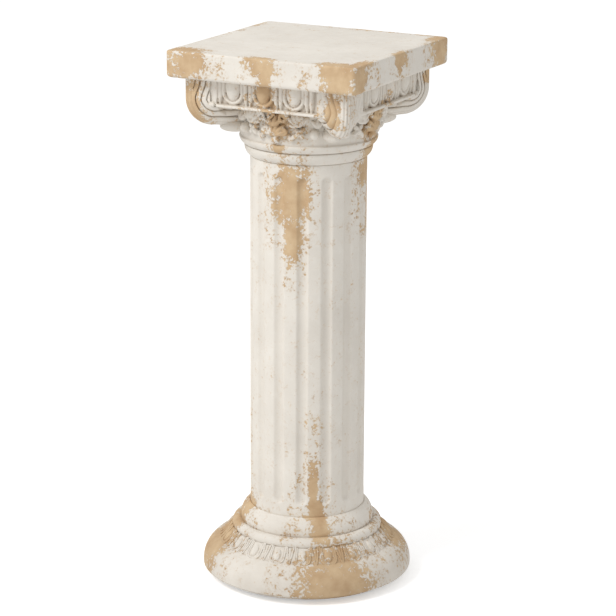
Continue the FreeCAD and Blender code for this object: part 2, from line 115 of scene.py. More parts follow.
def spun(profile, steps):
    """Closed profile of (radius, height) points turned about the z axis."""
    ring = np.linspace(0, 2 * math.pi, steps, endpoint=False)
    points = np.array([[r * np.cos(ring), r * np.sin(ring), np.full(steps, z)]
                       for r, z in profile]).transpose(0, 2, 1).reshape(-1, 3)
    return points, grid_faces(len(profile), steps, True, True)


def arc(start, stop, fullness, way=1, steps=14):
    """Points of an arc between two points, without its last. way +1 runs anticlockwise."""
    start, stop = np.array(start, float), np.array(stop, float)
    chord = stop - start
    half = np.linalg.norm(chord) / 2
    radius = half * fullness
    side = np.array([-chord[1], chord[0]]) / (2 * half)
    centre = (start + stop) / 2 + side * way * math.sqrt(max(radius ** 2 - half ** 2, 0))
    a, b = (math.atan2(*(p - centre)[::-1]) for p in (start, stop))
    if way > 0 and b < a:
        b += 2 * math.pi
    if way < 0 and b > a:
        b -= 2 * math.pi
    turns = np.linspace(a, b, steps, endpoint=False)
    return [tuple(centre + radius * np.array([math.cos(t), math.sin(t)])) for t in turns]


def bead(half_sizes, rings=14, steps=24):
    """Ellipsoid of three half sizes about the origin."""
    points = [(0, 0, -1.0)]
    for tilt in np.linspace(-math.pi / 2, math.pi / 2, rings + 2)[1:-1]:
        for turn in np.linspace(0, 2 * math.pi, steps, endpoint=False):
            points.append((math.cos(tilt) * math.cos(turn), math.cos(tilt) * math.sin(turn),
                           math.sin(tilt)))
    points.append((0, 0, 1.0))
    faces = grid_faces(rings, steps, wrap_columns=True, start=1)
    last = len(points) - 1
    for j in range(steps):
        k = (j + 1) % steps
        faces.append([0, 1 + k, 1 + j])
        faces.append([last, last - steps + j, last - steps + k])
    return np.array(points) * np.array(half_sizes), faces


def cord_along(path, radii, steps=12):
    """Round bar that follows a path of points, with a radius at each."""
    path = np.array(path, float)
    radii = np.broadcast_to(radii, (len(path),))
    along = np.gradient(path, axis=0)
    along /= np.linalg.norm(along, axis=1)[:, None]
    points = []
    for place, ahead, radius in zip(path, along, radii):
        side = np.cross(ahead, (0, 1, 0) if abs(ahead[1]) < 0.9 else (1, 0, 0))
        side /= np.linalg.norm(side)
        over = np.cross(side, ahead)
        for turn in np.linspace(0, 2 * math.pi, steps, endpoint=False):
            points.append(place + radius * (side * math.cos(turn) + over * math.sin(turn)))
    return np.array(points), tube_faces(len(path), steps)


def prism(outline, low, high):
    """Upright prism on a flat outline of (x, y) points."""
    points = [(x, y, z) for z in (low, high) for x, y in outline]
    return np.array(points, float), tube_faces(2, len(outline))


def board(left, right, front, back, low, high):
    """Upright prism on a rectangle."""
    return prism([(left, front), (right, front), (right, back), (left, back)], low, high)


def moved(shape, right=(1, 0, 0), out=(0, 1, 0), up=(0, 0, 1), place=(0, 0, 0)):
    """The shape with its x, y and z along right, out and up, set down at place."""
    points, faces = shape
    return points @ np.array([right, out, up], float) + np.array(place, float), faces


def together(*shapes):
    """Several shapes as one list of points and faces."""
    points, faces, start = [], [], 0
    for more, sides in shapes:
        points.append(more)
        faces += [[start + i for i in side] for side in sides]
        start += len(more)
    return np.vstack(points), faces


def as_object(name, shape):
    """Blender object made from a shape in millimetres."""
    points, faces = shape
    mesh = bpy.data.meshes.new(name)
    mesh.from_pydata((np.array(points) * MM).tolist(), [], faces)
    mesh.validate()
    tidy = bmesh.new()
    tidy.from_mesh(mesh)
    bmesh.ops.recalc_face_normals(tidy, faces=tidy.faces)
    tidy.to_mesh(mesh)
    tidy.free()
    made = bpy.data.objects.new(name, mesh)
    bpy.context.scene.collection.objects.link(made)
    return made


def settled(thing):
    """The object's modifiers turned into its plain mesh."""
    bpy.context.view_layer.update()
    ready = thing.evaluated_get(bpy.context.evaluated_depsgraph_get())
    mesh = bpy.data.meshes.new_from_object(ready)
    thing.modifiers.clear()
    old, thing.data = thing.data, mesh
    mesh.name = thing.name
    bpy.data.meshes.remove(old)
    return thing


def read_points(mesh, kind="co"):
    """One row of three values for each point of a mesh."""
    values = np.empty(len(mesh.vertices) * 3)
    mesh.vertices.foreach_get(kind, values)
    return values.reshape(-1, 3)


def shape_of(thing):
    """The object's mesh as a shape in millimetres; the object itself is removed."""
    mesh = thing.data
    points = read_points(mesh) / MM
    faces = [list(face.vertices) for face in mesh.polygons]
    bpy.data.objects.remove(thing)
    bpy.data.meshes.remove(mesh)
    return points, faces


def one_skin(thing, grain):
    """Voxel remesh into one soft skin, lightly smoothed."""
    remesh = thing.modifiers.new("one skin", "REMESH")
    remesh.mode, remesh.voxel_size, remesh.use_smooth_shade = "VOXEL", grain * MM, True
    soften = thing.modifiers.new("soften", "SMOOTH")
    soften.factor, soften.iterations = 0.5, 1
    settled(thing)
    print("%s: %d points" % (thing.name, len(thing.data.vertices)))
    return thing


print("helpers ready")

# %% [markdown]
# Much of the ornament repeats round the axis: four scrolls, four carved faces, twenty eggs.
# One Geometry Nodes tree turns whatever it is given round the z axis, so that each motif is
# modelled once. Its instances are realized at the end, so that the result is plain mesh.

# %% Geometry Nodes: repeat round the axis
def new_tree(name, sockets):
    """Geometry tree with a geometry in and out, and the named inputs."""
    tree = bpy.data.node_groups.new(name, "GeometryNodeTree")
    tree.interface.new_socket("Geometry", in_out="INPUT", socket_type="NodeSocketGeometry")
    for label, kind, value in sockets:
        socket = tree.interface.new_socket(label, in_out="INPUT", socket_type=kind)
        if kind != "NodeSocketMaterial":
            socket.default_value = value
    tree.interface.new_socket("Geometry", in_out="OUTPUT", socket_type="NodeSocketGeometry")
    return tree, tree.nodes.new("NodeGroupInput"), tree.nodes.new("NodeGroupOutput")


def put(tree, value, socket):
    """Link a socket's value into an input, or set a plain one."""
    if isinstance(value, bpy.types.NodeSocket):
        tree.links.new(value, socket)
    else:
        socket.default_value = value


def feed(tree, node, **values):
    """Set or link a node's inputs by name, and return the node."""
    for label, value in values.items():
        put(tree, value, node.inputs[label.replace("_", " ")])
    return node


def maths(tree, operation, *values):
    """One Math node, fed with sockets or numbers."""
    node = tree.nodes.new("ShaderNodeMath")
    node.operation = operation
    for socket, value in zip(node.inputs, values):
        put(tree, value, socket)
    return node.outputs[0]


def round_the_axis_tree():
    """Tree that sets copies evenly round the axis, the first one turned by the phase."""
    tree, given, result = new_tree("round_the_axis", [
        ("Count", "NodeSocketInt", 4), ("Phase", "NodeSocketFloat", 0.0),
        ("Material", "NodeSocketMaterial", None)])
    spots = feed(tree, tree.nodes.new("GeometryNodeMeshLine"), Count=given.outputs["Count"])
    spots.inputs["Offset"].default_value = (0, 0, 0)
    number = tree.nodes.new("GeometryNodeInputIndex").outputs[0]
    share = maths(tree, "DIVIDE", 2 * math.pi, given.outputs["Count"])
    turn = maths(tree, "ADD", maths(tree, "MULTIPLY", number, share), given.outputs["Phase"])
    spin = feed(tree, tree.nodes.new("ShaderNodeCombineXYZ"), Z=turn)
    copies = feed(tree, tree.nodes.new("GeometryNodeInstanceOnPoints"),
                  Points=spots.outputs["Mesh"], Instance=given.outputs["Geometry"],
                  Rotation=spin.outputs[0])
    real = feed(tree, tree.nodes.new("GeometryNodeRealizeInstances"),
                Geometry=copies.outputs["Instances"])
    painted = feed(tree, tree.nodes.new("GeometryNodeSetMaterial"),
                   Geometry=real.outputs["Geometry"], Material=given.outputs["Material"])
    tree.links.new(painted.outputs["Geometry"], result.inputs["Geometry"])
    return tree


def with_tree(thing, tree, **values):
    """Run a geometry tree on an object, with its inputs set by name."""
    modifier = thing.modifiers.new(tree.name, "NODES")
    modifier.node_group = tree
    for item in tree.interface.items_tree:
        label = item.name.replace(" ", "_")
        if item.in_out == "INPUT" and label in values:
            modifier[item.identifier] = values[label]
    return settled(thing)


ROUND = round_the_axis_tree()


def repeated(shape, count, phase=0.0):
    """A shape turned round the axis count times by the tree, as a shape again."""
    return shape_of(with_tree(as_object("motif", shape), ROUND, Count=count, Phase=phase))


print("trees:", [tree.name for tree in bpy.data.node_groups])

# %% [markdown]
# ## Capital
# The capital is a turned bell with two convex neck bands, a square frieze block, and four
# corner scrolls. The profile below is the outer edge of the turned part, read upwards: each
# neck band is one arc, a narrow groove parts them, and the bell is one long hollow arc.

# %% Capital: bell
CAPITAL_LOW, CAPITAL_HIGH = (v.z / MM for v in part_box("capital"))
FRIEZE_TALL, FRIEZE_HALF = 37.0, 122.0
FRIEZE_LOW = CAPITAL_HIGH - FRIEZE_TALL
BELL_FOOT, BELL_FLARE, BELL_LOW, BELL_TALL = 98.5, 17.5, 29.4, 57.0
BELL_INSIDE = 60.0


def bell_shape():
    """Turned part of the capital, from the neck bands to the underside of the frieze."""
    z, brim, top = CAPITAL_LOW, BELL_FOOT + BELL_FLARE, CAPITAL_LOW + BELL_LOW + BELL_TALL
    outer = [(84.6, z - 0.4)] + arc((85.4, z), (93.0, z + 16), 1.9, steps=18)
    outer += [(93.0, z + 16), (91.4, z + 16.5), (91.4, z + 17.0)]
    outer += arc((93.4, z + 17.6), (100.5, z + 28.4), 1.9, steps=16)
    outer += [(100.5, z + 28.4), (98.8, z + 29.2)]
    outer += arc((BELL_FOOT, z + BELL_LOW), (brim, top), 2.6, -1, 24)
    outer += [(brim, top), (BELL_INSIDE, top), (BELL_INSIDE, z - 0.4)]
    return spun(outer, 240)


bell = as_object("capital_bell", bell_shape())
print("bell:", len(bell.data.vertices), "points")

# %% [markdown]
# ## Corner scrolls
# Each scroll is an upright plate on a diagonal. Its edge drops straight from the slab, turns
# a quarter circle and runs in under the frieze, and rounded bands follow it in to an eye.
# Towards the eye the plate thickens until its side faces outwards like the frieze, and
# towards the bell it thins to a plain root. The plate is a grid: one direction runs along
# the edge, and the other goes across the ribbed rim and then in over each side.

# %% Capital: scrolls
REACH, TURN_RADIUS, SCROLL_LOW = 182.0, 40.0, CAPITAL_LOW + 50
TURN_AT = REACH - TURN_RADIUS
CROWN, RIDGE, GROOVE, ROOT = 8.0, 0.5, 3.4, 94.0
SIDE_BAND, FOOT_BAND = 6.6, 10.2
SIDE_REACH, FOOT_REACH = 27, 37
HEAD_FROM, HEAD_SPAN, PLATE_HALF, HEAD_SWELL, BELL_SIDE = 108, 34, 8.0, 3.5, 113


def eased(value):
    """Smooth step from 0 to 1."""
    value = np.clip(value, 0, 1)
    return value * value * (3 - 2 * value)


def scroll_half(across, depth):
    """Half thickness at a distance from the axis and a depth in from the edge."""
    head = eased((across - HEAD_FROM) / HEAD_SPAN)
    spread = 0.30 + 0.66 * head
    swell = PLATE_HALF + HEAD_SWELL * head + spread * np.maximum(depth - CROWN, 0)
    return np.minimum(swell, np.maximum(across - BELL_SIDE, 12 + 0.2 * depth))


def scroll_path():
    """Rows of (distance from the axis, level, inward direction, share of the turn)."""
    rows = [(REACH, z, -1, 0, 0) for z in np.linspace(
        CAPITAL_HIGH, SCROLL_LOW + TURN_RADIUS, 22)]
    for angle in np.linspace(0, math.pi / 2, 44)[1:]:
        c, s = math.cos(angle), math.sin(angle)
        rows.append((TURN_AT + TURN_RADIUS * c, SCROLL_LOW + TURN_RADIUS * (1 - s), -c, s,
                     angle / (math.pi / 2)))
    for across in np.linspace(TURN_AT, ROOT, 34)[1:]:
        sag = 2.4 * eased((TURN_AT - across) / 26)
        rows.append((across, SCROLL_LOW - sag, 0, 1, 1))
    return np.array(rows)[:, :, None]


def scroll_shape():
    """One scroll with its eye and the small bracket below it, on its diagonal."""
    path = scroll_path()
    across0, level0, ahead_x, ahead_z, turned = (path[:, i] for i in range(5))
    reach_in = SIDE_REACH + (FOOT_REACH - SIDE_REACH) * turned
    # over the rim: crowned, with fine ridges that run along it
    rim = np.linspace(-1, 1, 35)[None, 1:-1]
    dip = CROWN * rim ** 2 + RIDGE * np.cos(rim * 5 * math.pi)
    rim_half = scroll_half(across0, CROWN)
    edge = np.stack([across0 + ahead_x * dip, rim * rim_half, level0 + ahead_z * dip], -1)
    # in over one side: bands with rounded backs and sharp grooves between them
    depth = CROWN + (reach_in - CROWN) * np.linspace(0, 1, 64)[None, :]
    across, level = across0 + ahead_x * depth, level0 + ahead_z * depth
    lean = 5.5 * eased((level - SCROLL_LOW - TURN_RADIUS) / 27) * (1 - turned)
    band = SIDE_BAND + (FOOT_BAND - SIDE_BAND) * turned
    along = (depth - CROWN * 0.5 - lean) / band
    off = np.abs(2 * (along - np.floor(along)) - 1)
    bulge = np.sqrt(np.clip(1 - off ** 2, 0, 1)) - 0.5 * eased((off - 0.66) / 0.2)
    side = scroll_half(across, depth) + GROOVE * (np.where(along < 0, 1.0, bulge) - 0.85)
    front = np.stack([across, side, level], -1)
    back = np.stack([across, -side, level], -1)
    loops = np.concatenate([edge, front, back[:, ::-1]], axis=1)
    plate = loops.reshape(-1, 3), tube_faces(*loops.shape[:2])
    eye = moved(bead((6.5, 37.5, 7.0), 20), place=(TURN_AT + 9.5, 0, SCROLL_LOW + 35))
    bracket = moved(bead((25, 12, 9.5)), place=(108, 0, SCROLL_LOW - 3))
    points, faces = together(plate, eye, bracket)
    points[:, 2] = np.minimum(points[:, 2], CAPITAL_HIGH)
    diagonal = math.sqrt(0.5)
    return moved((points, faces), right=(diagonal, -diagonal, 0), out=(diagonal, diagonal, 0))


scrolls = as_object("capital_scrolls", repeated(scroll_shape(), 4))
print("scrolls:", len(scrolls.data.vertices), "points")

# %% [markdown]
# ## Egg-and-dart frieze
# Three eggs stand on each face, each in a U-shaped shell, with a pair of upright bars
# between two shells, over a straight fillet. The row of eggs sits a little off the middle
# of the face, to the left on one pair of faces and to the right on the other. So two faces
# are made and melted into skins, and the tree turns each of them to the opposite side.

# %% Capital: frieze
EGG_PITCH, EGG_ASIDE, SHELL_HALF, BAR_APART = 48.5, 6.5, 14.6, 3.9
FRIEZE_GRAIN = 1.1


def u_path(half_wide, top, bottom, steps=30):
    """Path down one side of a U, round its foot and up the other side, at y = 0."""
    turn_level = bottom + half_wide
    foot = [(-half_wide * math.cos(t), 0, turn_level - half_wide * math.sin(t))
            for t in np.linspace(0, math.pi, steps)]
    return [(-half_wide, 0, top)] + foot + [(half_wide, 0, top)]


def frieze_face(aside):
    """The face that looks along -y, with its eggs moved aside from the middle."""
    top, ground, deeper = CAPITAL_HIGH, -FRIEZE_HALF, (0, 1.5, 0)
    shapes = [board(-85, 85, ground, ground + 9, FRIEZE_LOW, top)]
    for x in (aside - EGG_PITCH, aside, aside + EGG_PITCH):
        shapes.append(moved(bead((11.6, 9.5, 20), 24, 36), place=(x, ground, top - 8)))
        shell = cord_along(u_path(SHELL_HALF, top, top - 30.2), 2.6)
        shapes.append(moved(shell, out=deeper, place=(x, ground - 1.2, 0)))
    for gap in (-1.5, -0.5, 0.5, 1.5):
        for way in (-1, 1):
            bar = cord_along([(0, 0, top), (0, 0, top - 22), (-way * 0.7, 0, top - 31.5)],
                             [3.5, 3.4, 2.0], 16)
            place = (aside + gap * EGG_PITCH + way * BAR_APART, ground - 0.6, 0)
            shapes.append(moved(bar, out=deeper, place=place))
    for left, right in ((-96, -80), (80, 96)):
        shapes.append(board(left, right, ground - 6, ground + 9, FRIEZE_LOW + 3, top))
    fillet = [(-78, ground - 9.5), (78, ground - 9.5), (82, ground - 5), (82, ground + 4),
              (-82, ground + 4), (-82, ground - 5)]
    shapes.append(prism(fillet, FRIEZE_LOW, FRIEZE_LOW + 4.0))
    points, faces = together(*shapes)
    points[:, 2] = np.minimum(points[:, 2], top)
    return points, faces


sides = []
for aside, phase in ((-EGG_ASIDE, 0), (EGG_ASIDE, math.pi / 2)):
    skin = shape_of(one_skin(as_object("frieze_face", frieze_face(aside)), FRIEZE_GRAIN))
    sides.append(repeated(skin, 2, phase))
half = FRIEZE_HALF - 0.6  # the block stays just behind the skins of its faces
block = board(-half, half, -half, half, FRIEZE_LOW + 0.2, CAPITAL_HIGH - 0.2)
frieze = as_object("capital_frieze", together(block, *sides))
print("frieze:", len(frieze.data.vertices), "points")

# %% [markdown]
# ## Foliage on the bell
# Under the fillet, each face carries a small palmette with curls, a bellflower over a
# four-petalled flower, and a bud, on either side. They are beads and bent bars laid on the
# bell, which the remesh then melts together, as in a casting from an old mould.

# %% Capital: foliage
LEAF_GRAIN = 1.0


def laid_on_bell(shape, x, level, lean=0.0, lift=0.0):
    """Set a flat motif on the bell: x along the face, lean turns it in the face's plane."""
    radius = BELL_FOOT + BELL_FLARE * np.clip((level - BELL_LOW) / BELL_TALL, 0, 1) ** 1.7 + lift
    turn = x / radius
    right = np.array((math.cos(turn), math.sin(turn), 0))
    out = np.array((math.sin(turn), -math.cos(turn), 0))
    c, s = math.cos(math.radians(lean)), math.sin(math.radians(lean))
    up = np.array((0, 0, 1.0))
    return moved(shape, right=c * right - s * up, out=out, up=s * right + c * up,
                 place=out * radius + np.array((0, 0, CAPITAL_LOW + level)))


def curl(radius, thick, turns=1.35, way=1):
    """Flat spiral bar in the x-z plane."""
    path = []
    for part in np.linspace(0, 1, 34):
        angle = part * turns * 2 * math.pi
        reach = radius * (1 - 0.72 * part)
        path.append((way * reach * math.cos(angle), 0, reach * math.sin(angle)))
    return cord_along(path, np.linspace(thick, thick * 0.8, 34))


def fan(x, level, leans, long, wide, deep, lift):
    """Lobes that spread from one foot."""
    return [laid_on_bell(moved(bead((wide, deep, long)), place=(0, 0, long * 0.8)),
                         x, level, lean, lift) for lean in leans]


def foliage_face():
    """All the leaves and curls on the face that looks along -y."""
    shapes = fan(0, 45, (-70, -44, -16, 16, 44, 70), 12.5, 3.9, 7.5, 1.5)
    shapes += fan(0, 60, (-56, -24, 24, 56), 10.5, 3.6, 7.0, 2.5)
    shapes.append(laid_on_bell(curl(5.4, 2.4, 1.1), 0, 75, lift=5))
    shapes += fan(0, 43, (150, 180, 210), 6.0, 3.0, 5.0, 1.5)
    for way in (-1, 1):
        shapes.append(laid_on_bell(curl(7.2, 2.6, way=way), way * 18, 72, lift=4))
        shapes.append(laid_on_bell(curl(5.4, 2.4, way=-way), way * 15, 50, lift=4))
        vine = [(0, 0, 0), (way * 8, 1.0, -3), (way * 18, 1.0, -2), (way * 26, 0, 4)]
        shapes.append(laid_on_bell(cord_along(vine, [2.8, 3.2, 3.0, 2.2]), way * 22, 64,
                                   lift=2))
        shapes += fan(way * 37, 63, (-58, -30, 0, 30, 58), 10.5, 4.2, 6.5, 1.5)
        shapes += fan(way * 37, 50, (45, 135, 225, 315), 6.2, 3.5, 5.0, 1.8)
        shapes.append(laid_on_bell(bead((3.0, 7.2, 3.0)), way * 37, 50, lift=2))
        shapes.append(laid_on_bell(bead((7.0, 9.0, 7.6)), way * 58, 48, lift=2))
        shapes += fan(way * 64, 58, (-40, 0, 40), 8.0, 3.6, 5.5, 1.5)
        shapes += fan(way * 24, 37, (way * 24, way * -24), 7.0, 3.0, 4.5, 1.0)
    return together(*shapes)


leaf_skin = shape_of(one_skin(as_object("foliage_face", foliage_face()), LEAF_GRAIN))
foliage = as_object("capital_foliage", repeated(leaf_skin, 4))
print("foliage:", len(foliage.data.vertices), "points")

# %% [markdown]
# ## Shaft
# The shaft is a plain tube, and a tree of Math nodes presses the flutes into it: for each
# point it works out the distance from the nearest flute's centre line, and sinks the point
# by a rounded depth. The same distance also rounds the two ends of each flute.

# %% Geometry Nodes: flutes
SHAFT_RADIUS, FLUTES, FLUTE_PHASE = 84.8 * MM, 15, math.radians(4.3)
SHAFT_LOW, SHAFT_HIGH = 108 * MM, 639.0 * MM
SPIGOT, CORE = 68, 39


def flute_tree():
    """Tree that sinks round-ended flutes into the outside of a tube."""
    tree, given, result = new_tree("pressed_flutes", [
        ("Flutes", "NodeSocketInt", FLUTES), ("Phase", "NodeSocketFloat", FLUTE_PHASE),
        ("Depth", "NodeSocketFloat", 4.0 * MM), ("Half Width", "NodeSocketFloat", 8.2 * MM),
        ("Low End", "NodeSocketFloat", SHAFT_LOW + 22 * MM),
        ("High End", "NodeSocketFloat", SHAFT_HIGH - 17 * MM),
        ("Radius", "NodeSocketFloat", SHAFT_RADIUS), ("Material", "NodeSocketMaterial", None)])
    place = tree.nodes.new("GeometryNodeInputPosition").outputs[0]
    split = feed(tree, tree.nodes.new("ShaderNodeSeparateXYZ"), Vector=place)
    x, y, z = split.outputs
    turn = maths(tree, "SUBTRACT", maths(tree, "ARCTAN2", y, x), given.outputs["Phase"])
    half = maths(tree, "DIVIDE", math.pi, given.outputs["Flutes"])
    off = maths(tree, "WRAP", turn, half, maths(tree, "MULTIPLY", half, -1.0))
    aside = maths(tree, "MULTIPLY", off, given.outputs["Radius"])
    wide = given.outputs["Half Width"]
    below = maths(tree, "SUBTRACT", maths(tree, "ADD", given.outputs["Low End"], wide), z)
    above = maths(tree, "SUBTRACT", z, maths(tree, "SUBTRACT", given.outputs["High End"], wide))
    past = maths(tree, "MAXIMUM", maths(tree, "MAXIMUM", below, above), 0.0)
    reach = maths(tree, "SQRT", maths(tree, "ADD", maths(tree, "POWER", aside, 2.0),
                                      maths(tree, "POWER", past, 2.0)))
    share = maths(tree, "DIVIDE", reach, wide)
    dip = maths(tree, "SUBTRACT", 1.0, maths(tree, "POWER", share, 2.0))
    dip = maths(tree, "POWER", maths(tree, "MAXIMUM", dip, 0.0), 0.85)
    length = maths(tree, "SQRT", maths(tree, "ADD", maths(tree, "POWER", x, 2.0),
                                       maths(tree, "POWER", y, 2.0)))
    outside = maths(tree, "GREATER_THAN", length,
                    maths(tree, "SUBTRACT", given.outputs["Radius"], 0.5 * MM))
    sink = maths(tree, "MULTIPLY", maths(tree, "MULTIPLY", dip, given.outputs["Depth"]), outside)
    scale = maths(tree, "DIVIDE", maths(tree, "MULTIPLY", sink, -1.0), length)
    offset = feed(tree, tree.nodes.new("ShaderNodeCombineXYZ"),
                  X=maths(tree, "MULTIPLY", x, scale), Y=maths(tree, "MULTIPLY", y, scale))
    pressed = feed(tree, tree.nodes.new("GeometryNodeSetPosition"),
                   Geometry=given.outputs["Geometry"], Offset=offset.outputs[0])
    painted = feed(tree, tree.nodes.new("GeometryNodeSetMaterial"),
                   Geometry=pressed.outputs["Geometry"], Material=given.outputs["Material"])
    tree.links.new(painted.outputs["Geometry"], result.inputs["Geometry"])
    return tree


def shaft_shape():
    """Tube with close rows at the flutes' ends; its spigots reach into both neighbours."""
    low, high = SHAFT_LOW / MM, SHAFT_HIGH / MM
    levels = np.concatenate([np.linspace(low + 0.6, low + 40, 28),
                             np.linspace(low + 46, high - 40, 60),
                             np.linspace(high - 35, high - 0.6, 26)])
    radius = SHAFT_RADIUS / MM
    outer = [(radius - 0.5, low)] + [(radius, z) for z in levels] + [(radius - 0.5, high)]
    inner = [(SPIGOT, high), (SPIGOT, high + 7), (CORE, high + 7), (CORE, low - 8),
             (SPIGOT, low - 8), (SPIGOT, low)]
    return spun(outer + inner, FLUTES * 26)


shaft = with_tree(as_object("fluted_shaft_skin", shaft_shape()), flute_tree())
print("shaft:", len(shaft.data.vertices), "points")

# %% [markdown]
# ## Base
# The base is turned: a roundel, a ring, a slope, a big roll and a foot. Twenty flat eggs in
# U-shaped shells lie on the slope, with V-shaped darts between them. One of the twenty is
# melted into one skin, and the tree turns it round the base.

# %% Base
BASE_HIGH, WEB_LOW, WEB_HIGH, ROLL_RADIUS = 112.0, 87.0, 99.0, 155.25
SEAT, SEAT_LOW, SPIGOT_HOLE, ROD_HOLE = 85.0, 106, 68.3, 7
SLOPE_TOP, SLOPE_FOOT = (112.5, 72.6), (129.0, 55.0)
FOOT, UNDER_ROLL, ROLL_OUT = (127.0, 1.0), (150.5, 11.0), (155.2, 18.3)
EGGS, EGG_SHIFT, EGG_GRAIN, DART_ASIDE = 20, math.radians(FRONT + 90 - 3), 0.82, 19


def base_turning():
    """Turned part of the base: outside from foot to roundel, then the holes downwards."""
    outer = arc(FOOT, UNDER_ROLL, 4.0, steps=12)
    outer += arc(UNDER_ROLL, ROLL_OUT, 1.25, steps=12)
    outer += arc(ROLL_OUT, SLOPE_FOOT, 1.66, steps=36)
    outer += [SLOPE_FOOT] + [tuple(np.array(SLOPE_FOOT) * (1 - t) + np.array(SLOPE_TOP) * t)
                             for t in (0.25, 0.5, 0.75)] + [SLOPE_TOP]
    outer += arc((110.6, 72.9), (98.3, 84.7), 1.04, steps=26)
    outer += arc((98.3, 85.3), (86.6, BASE_HIGH), 1.85, steps=24)
    outer = [(min(radius, ROLL_RADIUS), level) for radius, level in outer]
    outer += [(86.6, BASE_HIGH), (SEAT, BASE_HIGH - 0.4), (SEAT, SEAT_LOW),
              (SPIGOT_HOLE, SEAT_LOW), (SPIGOT_HOLE, WEB_HIGH), (ROD_HOLE, WEB_HIGH),
              (ROD_HOLE, WEB_LOW), (CORE, WEB_LOW), (CORE, FOOT[1])]
    return spun(outer, 300)


def base_motif():
    """One egg, its shell and the dart beside it, modelled flat on the x-z plane."""
    flatter = (0, 0.9, 0)
    shapes = [bead((5.8, 2.7, 9.8), 18, 28)]
    for half_wide, top, bottom, thick in ((8.2, 13.5, -12.4, 1.1), (11.4, 14.5, -15.4, 1.35)):
        shapes.append(moved(cord_along(u_path(half_wide, top, bottom), thick), out=flatter,
                            place=(0, -0.5, 0)))
    for way in (-1, 1):
        dart_path = [(DART_ASIDE + way * apart, 0, level)
                     for apart, level in ((5.2, 14.5), (3.6, 0), (0.7, -15.5))]
        shapes.append(moved(cord_along(dart_path, [1.2, 1.3, 1.2]), out=flatter,
                            place=(0, -0.5, 0)))
    shapes.append(moved(bead((1.7, 1.6, 11.0)), place=(DART_ASIDE, 0, 3)))
    return together(*shapes)


def on_slope(shape):
    """Bend a flat motif round the axis and lean it on the slope, facing -y at x = 0."""
    points, faces = shape
    middle = (np.array(SLOPE_TOP) + np.array(SLOPE_FOOT)) / 2
    tilt = math.atan2(SLOPE_FOOT[0] - SLOPE_TOP[0], SLOPE_TOP[1] - SLOPE_FOOT[1])
    x, out, up = points[:, 0], -points[:, 1], points[:, 2]
    radius = middle[0] + out * math.cos(tilt) - up * math.sin(tilt)
    level = middle[1] + out * math.sin(tilt) + up * math.cos(tilt)
    turn = x / middle[0]
    return np.stack([radius * np.sin(turn), -radius * np.cos(turn), level], 1), faces


base = as_object("round_base_turning", base_turning())
egg_skin = shape_of(one_skin(as_object("base_egg", on_slope(base_motif())), EGG_GRAIN))
base_ring = as_object("base_egg_ring", repeated(egg_skin, EGGS, EGG_SHIFT))
print("base: %d and %d points" % (len(base.data.vertices), len(base_ring.data.vertices)))

# %% [markdown]
# ## Slab
# The slab's edges are eased: a small round above, a larger one below, and rounded corners.
# It is lofted from rounded squares, closed towards the middle of both faces.

# %% Slab
SLAB_LOW, SLAB_HIGH, SLAB_HALF = 761.0, 800.0, 150
UNDER_ROUND, TOP_ROUND, SLAB_CORNER = 5.5, 3, 6


def rounded_square(half, corner, side_steps=44, corner_steps=7):
    """Points of a square with rounded corners, anticlockwise."""
    flat = half - corner
    points = []
    for quarter in range(4):
        c, s = math.cos(quarter * math.pi / 2), math.sin(quarter * math.pi / 2)
        edge = [(half, y) for y in np.linspace(-flat, flat, side_steps, endpoint=False)]
        edge += [(flat + corner * math.cos(a), flat + corner * math.sin(a))
                 for a in np.linspace(0, math.pi / 2, corner_steps, endpoint=False)]
        points += [(c * x - s * y, s * x + c * y) for x, y in edge]
    return points


def slab_shape():
    """Rounded squares from the middle of the underside, up the side, to the middle above."""
    side = []
    for angle in np.linspace(-math.pi / 2, 0, 8):
        side.append((UNDER_ROUND - UNDER_ROUND * math.cos(angle),
                     SLAB_LOW + UNDER_ROUND + UNDER_ROUND * math.sin(angle)))
    side += [(0, z) for z in np.linspace(SLAB_LOW + 9, SLAB_HIGH - 4, 8)]
    for angle in np.linspace(0, math.pi / 2, 6):
        side.append((TOP_ROUND - TOP_ROUND * math.cos(angle),
                     SLAB_HIGH - TOP_ROUND + TOP_ROUND * math.sin(angle)))
    inward = list(np.linspace(9, 149.9, 34))
    rings = [(d, SLAB_LOW) for d in inward[::-1]] + side + [(d, SLAB_HIGH) for d in inward]
    points = []
    for inset, z in rings:
        corner = max(SLAB_CORNER - inset * 0.05, 0.02)
        points += [(x, y, z) for x, y in rounded_square(SLAB_HALF - inset, corner)]
    return np.array(points), tube_faces(len(rings), len(points) // len(rings))


slab = as_object("slab_skin", slab_shape())
print("slab:", len(slab.data.vertices), "points")
